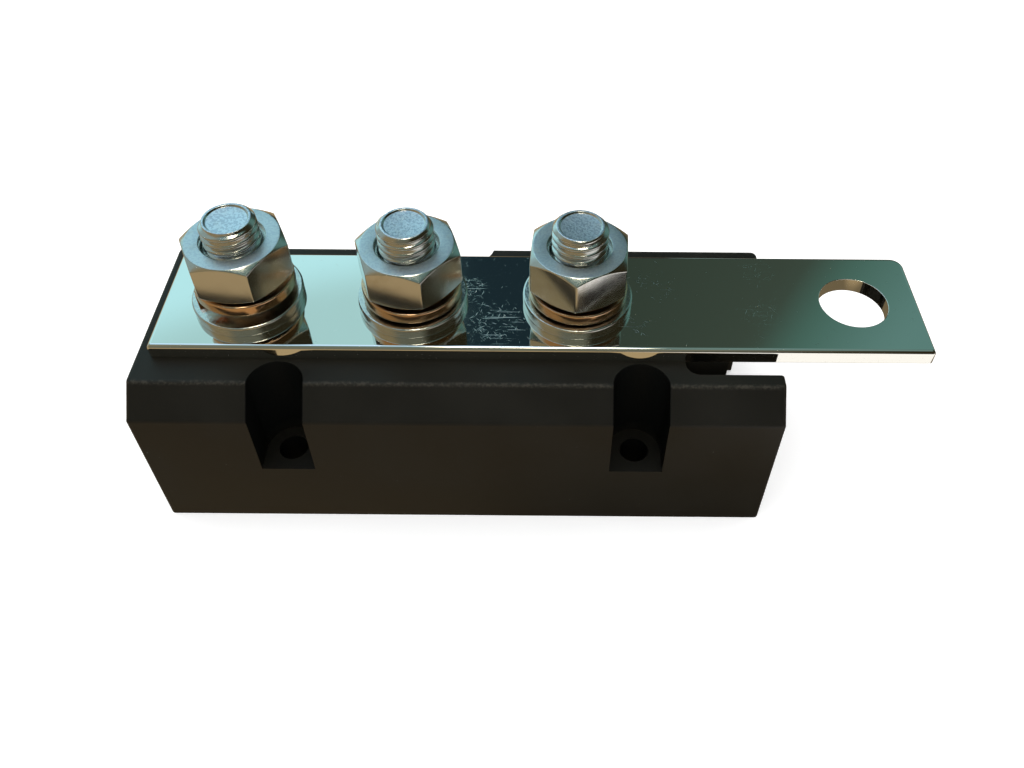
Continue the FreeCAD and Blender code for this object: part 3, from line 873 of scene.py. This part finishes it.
class BUSBAR_OT_spring_washers(bpy.types.Operator):
    """Three split spring washers: rounded square wire on a left-hand helix, cut on a slant"""

    bl_idname = "busbar.spring_washers"
    bl_label = "Spring washers"
    steps: IntProperty(name="Steps", description="Sections along the wire", default=150)

    def execute(self, context):
        finish = context.scene.busbar_finish
        material = zinc_finish("spring_washer_finish", finish.spring_steel, 0.13, 0.008 * MM)
        for number in STACKS:
            points = self.points(context.scene.busbar_washers, number)
            piece = skin(f"spring_washer_{number}_coil", points, poles=(True, True))
            dress(piece, f"washers_{number}", f"spring_washer_{number}", material)
        return {"FINISHED"}

    def points(self, sizes, number):
        """Each section of the wire stands at an angle that falls from the low end to the high end while its
        height rises in proportion. The slant leans every section back with its own height, and the first
        and last section shrink a little, which eases the edges of the cut."""
        node = f"spring_washer_{number}"
        low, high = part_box(node)
        middle = stud_axis(number)
        outer = np.hypot(*(node_points(node)[:, :2] - middle).T).max()
        inner = sizes.spring_bore / 2
        wire = sizes.spring_wire
        corners = [(inner, 0.0), (outer, 0.0), (outer, wire), (inner, wire)]
        stations = [station(radius, height, 1) for radius, height in corners]
        section = rounded(stations, [sizes.spring_round] * 4, closed=True, steps=6)[:, 0]
        heart = section.mean(axis=0)
        share = np.concatenate([[0.0], np.linspace(0.0, 1.0, self.steps), [1.0]])[:, None]
        swell = np.ones(len(share))
        swell[[0, -1]] = 0.94
        rows = heart + (section[None] - heart) * swell[:, None, None]
        start = split_turn(node, middle) - sizes.spring_gap / 2
        swept = 2 * math.pi - sizes.spring_gap
        lean = sizes.spring_slant * (rows[..., 1] / wire - 0.5)
        angles = start - swept * share - lean
        climb = (high.z - low.z - wire) * share
        x = middle[0] + rows[..., 0] * np.cos(angles)
        y = middle[1] + rows[..., 0] * np.sin(angles)
        return np.stack([x, y, low.z + climb + rows[..., 1]], axis=-1)


class BUSBAR_OT_retainer(bpy.types.Operator):
    """Finishes for the plate under the stud heads and its four screws"""

    bl_idname = "busbar.retainer"
    bl_label = "Retainer plate and screws"

    def execute(self, context):
        finish = context.scene.busbar_finish
        recoat("head_retainer_plate", board_finish())
        material = zinc_finish("plate_screw_finish", finish.screw, 0.22, 0.006 * MM)
        for number in SCREWS:
            recoat(f"plate_screw_{number}", material)
        return {"FINISHED"}


# --------------------------------------------------------------------- stage


def sheet_plane(name, width, height, material):
    """Flat square of the stage, facing up: every pair of its lowest and highest x and y."""
    x, y = np.meshgrid([-width / 2, width / 2], [-width / 2, width / 2])
    points = np.stack([x, y, np.full_like(x, height)], axis=-1).reshape(-1, 3)
    mesh = bpy.data.meshes.new(name)
    mesh.from_pydata(points.tolist(), [], [(0, 1, 3, 2)])
    plane = bpy.data.objects.new(name, mesh)
    plane.data.materials.append(material)
    bpy.context.scene.collection.objects.link(plane)
    return plane


def floor_finish(shade):
    """Pale matt floor with faint clouds and a little light of its own, which softens the shadow."""
    material, recipe = new_material("pale_floor")
    cloud = recipe.noise(0.4, detail=2.0)
    finish_material(recipe, {
        "Base Color": recipe.blend(cloud, shade, [0.985 * c for c in shade]),
        "Roughness": 0.9,
        "Emission Color": (1, 1, 1, 1),
        "Emission Strength": 0.30,
    })
    return material


def table_finish(shade):
    """Light of a warm table top, nearly white under the bar's free end."""
    material, recipe = new_material("table_tone")
    x, y = recipe.part("X"), recipe.part("Y")
    pale = x.between(51 * MM, 56 * MM) * (1 - y.between(-42 * MM, -41 * MM))
    dim = x.between(-30 * MM, 20 * MM) * y.between(-42 * MM, -30 * MM)
    glow = recipe.blend(dim * 0.75, shade, (0.075, 0.060, 0.036))
    glow = recipe.blend(pale, glow, (1.15, 1.08, 1.0))
    recipe.surface(recipe.shader({
        "Base Color": (0, 0, 0, 1),
        "Roughness": 1.0,
        "Specular IOR Level": 0.0,
        "Emission Color": glow,
        "Emission Strength": 1.0,
    }))
    return material


def toward(azimuth, elevation):
    """Unit vector to a spot of the room: azimuth from +Y towards +X and elevation, in degrees."""
    across, up = math.radians(azimuth), math.radians(elevation)
    return (math.sin(across) * math.cos(up), math.cos(across) * math.cos(up), math.sin(up))


def spot(recipe, direction, centre, inner, outer):
    """1 within inner degrees of a direction, falling softly to 0 at outer degrees."""
    aim = recipe.node("ShaderNodeVectorMath", {"operation": "DOT_PRODUCT"}, {0: direction, 1: centre})
    nearness = Term(recipe, aim.outputs["Value"])
    return nearness.between(math.cos(math.radians(outer)), math.cos(math.radians(inner)))


def studio_world():
    """Soft surroundings by direction, for gloss only: the tones of the compass, a dim roof over them with a
    blue-white skylight behind on the left, and a small warm lamp overhead. Matt light comes evenly from all
    round, and the camera sees plain white past the floor's edge."""
    world = bpy.data.worlds.new("studio")
    world.use_nodes = True
    world.cycles.sampling_method = "NONE"
    recipe = Recipe(world.node_tree)
    direction = recipe.node("ShaderNodeTexCoord").outputs["Generated"]
    parts = recipe.node("ShaderNodeSeparateXYZ", None, {0: direction})
    right, back, height = (Term(recipe, parts.outputs[axis]) for axis in "XYZ")
    azimuth = right.direction_from(back) * math.degrees(1.0)
    slanted = azimuth + azimuth.between(4.0, 10.0) * (height - 0.7) * 30.0
    beside_screen = (1 - azimuth.between(-9.0, -7.0)) * azimuth.between(-60, -40)
    screen_foot = (1 - height.between(*FOOT_END)) * beside_screen
    stops = [(degrees / 360 + 0.5, tone) for degrees, tone in COMPASS]
    tones = recipe.node("ShaderNodeValToRGB", {"stops": stops}, {0: slanted * (1 / 360) + 0.5}).outputs[0]
    shade = recipe.blend(screen_foot, tones, SCREEN_FOOT)
    shade = recipe.blend(height.between(*ROOF_START), shade, ROOF)
    skylight = spot(recipe, direction, toward(*SKYLIGHT_PLACE), *SKYLIGHT_REACH)
    shade = recipe.blend(skylight, shade, SKYLIGHT)
    lamp = spot(recipe, direction, toward(*LAMP_PLACE), *LAMP_REACH)
    shade = recipe.blend(lamp, shade, LAMP)
    surroundings = recipe.node("ShaderNodeBackground", None, {"Color": shade, "Strength": 1.0})
    plain = recipe.node("ShaderNodeBackground", None, {"Color": (1, 1, 1, 1), "Strength": 1.0})
    glossy = recipe.node("ShaderNodeLightPath").outputs["Is Glossy Ray"]
    blended = recipe.mixed(glossy, plain.outputs[0], surroundings.outputs[0])
    recipe.node("ShaderNodeOutputWorld", None, {"Surface": blended})
    return world


class BUSBAR_OT_stage(bpy.types.Operator):
    """Pale floor, soft studio light and the camera"""

    bl_idname = "busbar.stage"
    bl_label = "Stage"

    def execute(self, context):
        stage = context.scene.busbar_stage
        scene = context.scene
        scene.view_settings.view_transform = "Standard"
        scene.world = studio_world()
        floor = sheet_plane("floor", FLOOR_WIDTH, -FLOOR_DROP, floor_finish(stage.floor))
        floor.visible_glossy = False
        table = sheet_plane("table_tone", TABLE_WIDTH, -TABLE_DROP, table_finish(stage.table))
        table.visible_camera = False
        table.visible_diffuse = False
        table.visible_shadow = False
        lamp = bpy.data.lights.new("overhead", "AREA")
        lamp.shape = "DISK"
        lamp.size = LIGHT_WIDTH
        lamp.energy = stage.floor_light
        overhead = bpy.data.objects.new("overhead", lamp)
        overhead.location = (0.0, 0.0, LIGHT_HEIGHT)
        overhead.visible_glossy = False
        overhead.visible_camera = False
        scene.collection.objects.link(overhead)
        lens = bpy.data.cameras.new("camera")
        lens.sensor_width = 36.0
        lens.lens = stage.lens
        lens.shift_x, lens.shift_y = stage.shift
        lens.clip_start = 0.005
        camera = bpy.data.objects.new("camera", lens)
        camera.location = stage.camera_place
        camera.rotation_euler = stage.camera_turn
        scene.collection.objects.link(camera)
        scene.camera = camera
        return {"FINISHED"}


# ------------------------------------------------------------ panel and main


PIECES = ("base", "bar", "studs", "nuts", "flat_washers", "spring_washers", "retainer", "stage")
SETTINGS = {
    "busbar_thread": BusbarThread,
    "busbar_washers": BusbarWashers,
    "busbar_finish": BusbarFinish,
    "busbar_stage": BusbarStage,
}


class BUSBAR_PT_panel(bpy.types.Panel):
    """Lists the busbar's sizes, finishes and pieces"""

    bl_label = "Insulated busbar"
    bl_idname = "BUSBAR_PT_panel"
    bl_space_type = "VIEW_3D"
    bl_region_type = "UI"
    bl_category = "Busbar"

    def draw(self, context):
        for name, group in SETTINGS.items():
            column = self.layout.column(heading=group.__name__)
            for key in group.__annotations__:
                column.prop(getattr(context.scene, name), key)
        for piece in PIECES:
            self.layout.operator(f"busbar.{piece}")


CLASSES = (
    *SETTINGS.values(),
    BUSBAR_OT_base,
    BUSBAR_OT_bar,
    BUSBAR_OT_studs,
    BUSBAR_OT_nuts,
    BUSBAR_OT_flat_washers,
    BUSBAR_OT_spring_washers,
    BUSBAR_OT_retainer,
    BUSBAR_OT_stage,
    BUSBAR_PT_panel,
)


def register():
    for kind in CLASSES:
        bpy.utils.register_class(kind)
    for name, group in SETTINGS.items():
        setattr(bpy.types.Scene, name, PointerProperty(type=group))


def unregister():
    for name in SETTINGS:
        delattr(bpy.types.Scene, name)
    for kind in reversed(CLASSES):
        bpy.utils.unregister_class(kind)


def main():
    register()
    for piece in PIECES:
        getattr(bpy.ops.busbar, piece)()


if __name__ == "__main__":
    main()
